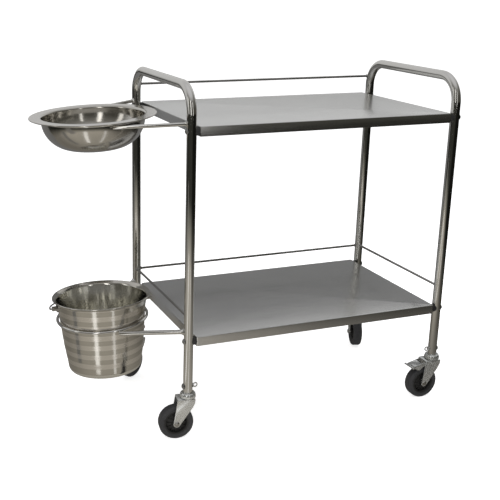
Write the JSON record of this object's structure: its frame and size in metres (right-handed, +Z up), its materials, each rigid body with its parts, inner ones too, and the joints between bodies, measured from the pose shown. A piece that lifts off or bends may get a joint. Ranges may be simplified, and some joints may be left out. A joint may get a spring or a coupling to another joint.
{
  "type": "dressing trolley",
  "caption": "Stainless steel dressing trolley: bent-tube end frames with handles, guard-railed shelves, a lift-out basin and bucket in ring holders, and swivel casters.",
  "frame": {"origin": "on the floor, below the centre of the whole object's bounding box", "axes": "+X along the trolley towards the end without the basin, +Y to the railed rear side, +Z up"},
  "size_m": [1.0069, 0.4248, 0.829],
  "materials": {
    "polished_tube": "mirror polished stainless steel",
    "shelf_steel": "satin stainless sheet",
    "basin_steel": "polished stainless sheet",
    "bucket_steel": "polished and satin bands",
    "bail_wire": "satin wire",
    "spacer_rubber": "matte black",
    "tyre": "matte dark grey",
    "hub_plastic": "matte black",
    "zinc_plate": "zinc plated",
    "fastener": "dull plated"
  },
  "bodies": {
    "frame": {"left_end_frame": "polished_tube", "right_end_frame": "polished_tube", "top_shelf": "shelf_steel", "bottom_shelf": "shelf_steel", "top_shelf_stiffener": "shelf_steel", "bottom_shelf_stiffener": "shelf_steel", "shelf_spacers": "spacer_rubber", "shelf_bolts": "fastener", "shelf_nuts": "fastener", "top_rear_rail": "polished_tube", "bottom_rear_rail": "polished_tube", "bottom_left_rail": "polished_tube", "bottom_right_rail": "polished_tube", "basin_ring": "polished_tube", "basin_arm_front": "polished_tube", "basin_arm_rear": "polished_tube", "bucket_ring": "polished_tube", "bucket_arm_front": "polished_tube", "bucket_arm_rear": "polished_tube", "stem_fl": "zinc_plate", "cap_fl": "zinc_plate", "stem_fr": "zinc_plate", "cap_fr": "zinc_plate", "stem_rl": "zinc_plate", "cap_rl": "zinc_plate", "stem_rr": "zinc_plate", "cap_rr": "zinc_plate", "caster_bolts": "fastener", "caster_eye_nuts": "fastener"},
    "caster_fl": {"fork_fl": "zinc_plate", "axle_fl": "zinc_plate", "axle_nut_fl": "zinc_plate"},
    "wheel_fl": {"hub_fl": "hub_plastic", "tyre_fl": "tyre"},
    "caster_fr": {"fork_fr": "zinc_plate", "axle_fr": "zinc_plate", "axle_nut_fr": "zinc_plate", "brake_pin_fr": "zinc_plate"},
    "wheel_fr": {"hub_fr": "hub_plastic", "tyre_fr": "tyre"},
    "brake_fr": {"brake_lever_fr": "zinc_plate"},
    "caster_rl": {"fork_rl": "zinc_plate", "axle_rl": "zinc_plate", "axle_nut_rl": "zinc_plate", "brake_pin_rl": "zinc_plate"},
    "wheel_rl": {"hub_rl": "hub_plastic", "tyre_rl": "tyre"},
    "brake_rl": {"brake_lever_rl": "zinc_plate"},
    "caster_rr": {"fork_rr": "zinc_plate", "axle_rr": "zinc_plate", "axle_nut_rr": "zinc_plate"},
    "wheel_rr": {"hub_rr": "hub_plastic", "tyre_rr": "tyre"},
    "basin": {"basin": "basin_steel"},
    "bucket": {"bucket": "bucket_steel", "bucket_ears": "bail_wire"},
    "bail": {"bucket_bail": "bail_wire"}
  },
  "joints": [
    {"name": "swivel_fl", "type": "hinge", "parent": "frame", "child": "caster_fl", "pos_m": [-0.19025, -0.19, 0.0985], "axis": [0, 0, 1], "continuous": true},
    {"name": "wheel_spin_fl", "type": "hinge", "parent": "caster_fl", "child": "wheel_fl", "pos_m": [-0.21782, -0.18514, 0.041], "axis": [-0.1736, -0.9848, 0], "continuous": true},
    {"name": "swivel_fr", "type": "hinge", "parent": "frame", "child": "caster_fr", "pos_m": [0.48475, -0.19, 0.0985], "axis": [0, 0, 1], "continuous": true},
    {"name": "wheel_spin_fr", "type": "hinge", "parent": "caster_fr", "child": "wheel_fr", "pos_m": [0.45675, -0.19, 0.041], "axis": [0, -1, 0], "continuous": true},
    {"name": "brake_press_fr", "type": "hinge", "parent": "caster_fr", "child": "brake_fr", "pos_m": [0.47475, -0.19, 0.093], "axis": [0, -1, 0], "range_deg": [0, 15]},
    {"name": "swivel_rl", "type": "hinge", "parent": "frame", "child": "caster_rl", "pos_m": [-0.19025, 0.19, 0.0985], "axis": [0, 0, 1], "continuous": true},
    {"name": "wheel_spin_rl", "type": "hinge", "parent": "caster_rl", "child": "wheel_rl", "pos_m": [-0.21346, 0.17434, 0.041], "axis": [0.5592, -0.829, 0], "continuous": true},
    {"name": "brake_press_rl", "type": "hinge", "parent": "caster_rl", "child": "brake_rl", "pos_m": [-0.19854, 0.18441, 0.093], "axis": [0.5592, -0.829, 0], "range_deg": [0, 15]},
    {"name": "swivel_rr", "type": "hinge", "parent": "frame", "child": "caster_rr", "pos_m": [0.48475, 0.19, 0.0985], "axis": [0, 0, 1], "continuous": true},
    {"name": "wheel_spin_rr", "type": "hinge", "parent": "caster_rr", "child": "wheel_rr", "pos_m": [0.4761, 0.16337, 0.041], "axis": [0.9511, -0.309, 0], "continuous": true},
    {"name": "basin_lift", "type": "slide", "parent": "frame", "child": "basin", "axis": [-0.0523, 0, 0.9986], "range_m": [0, 0.12]},
    {"name": "bucket_lift", "type": "slide", "parent": "frame", "child": "bucket", "axis": [-0.0349, 0.0523, 0.998], "range_m": [0, 0.16]},
    {"name": "bail_swing", "type": "hinge", "parent": "bucket", "child": "bail", "pos_m": [-0.34048, 0.00199, 0.28473], "axis": [0.9968, -0.0697, 0.0385], "range_deg": [0, 195]}
  ]
}
